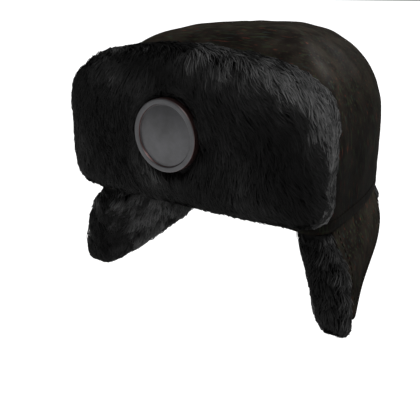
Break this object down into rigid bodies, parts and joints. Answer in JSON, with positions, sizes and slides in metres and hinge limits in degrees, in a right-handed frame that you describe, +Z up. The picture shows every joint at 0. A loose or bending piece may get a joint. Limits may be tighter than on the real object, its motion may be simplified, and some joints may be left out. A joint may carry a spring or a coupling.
{
  "type": "ushanka",
  "caption": "Winter hat with a padded cloth crown, a turned-up fur front flap with a round badge, hanging fur-lined ear flaps and a short neck flap.",
  "frame": {"origin": "centre of the head opening, in the plane of the crown's rim", "axes": "+Z up through the crown, -Y towards the front, +X towards the wearer's left"},
  "size_m": [0.2388, 0.2595, 0.2019],
  "materials": {
    "cloth": "brushed wool cloth, very dark brown",
    "fur": "deep soft fur, charcoal",
    "badge": "satin grey metal"
  },
  "bodies": {
    "root": {"crown": "cloth", "front_flap": "fur", "badge": "badge", "ear_flap_fur_left": "fur", "ear_flap_fur_right": "fur", "ear_flap_cloth_left": "cloth", "ear_flap_cloth_right": "cloth", "neck_flap_fur": "fur", "neck_flap_cloth": "cloth"}
  },
  "joints": []
}
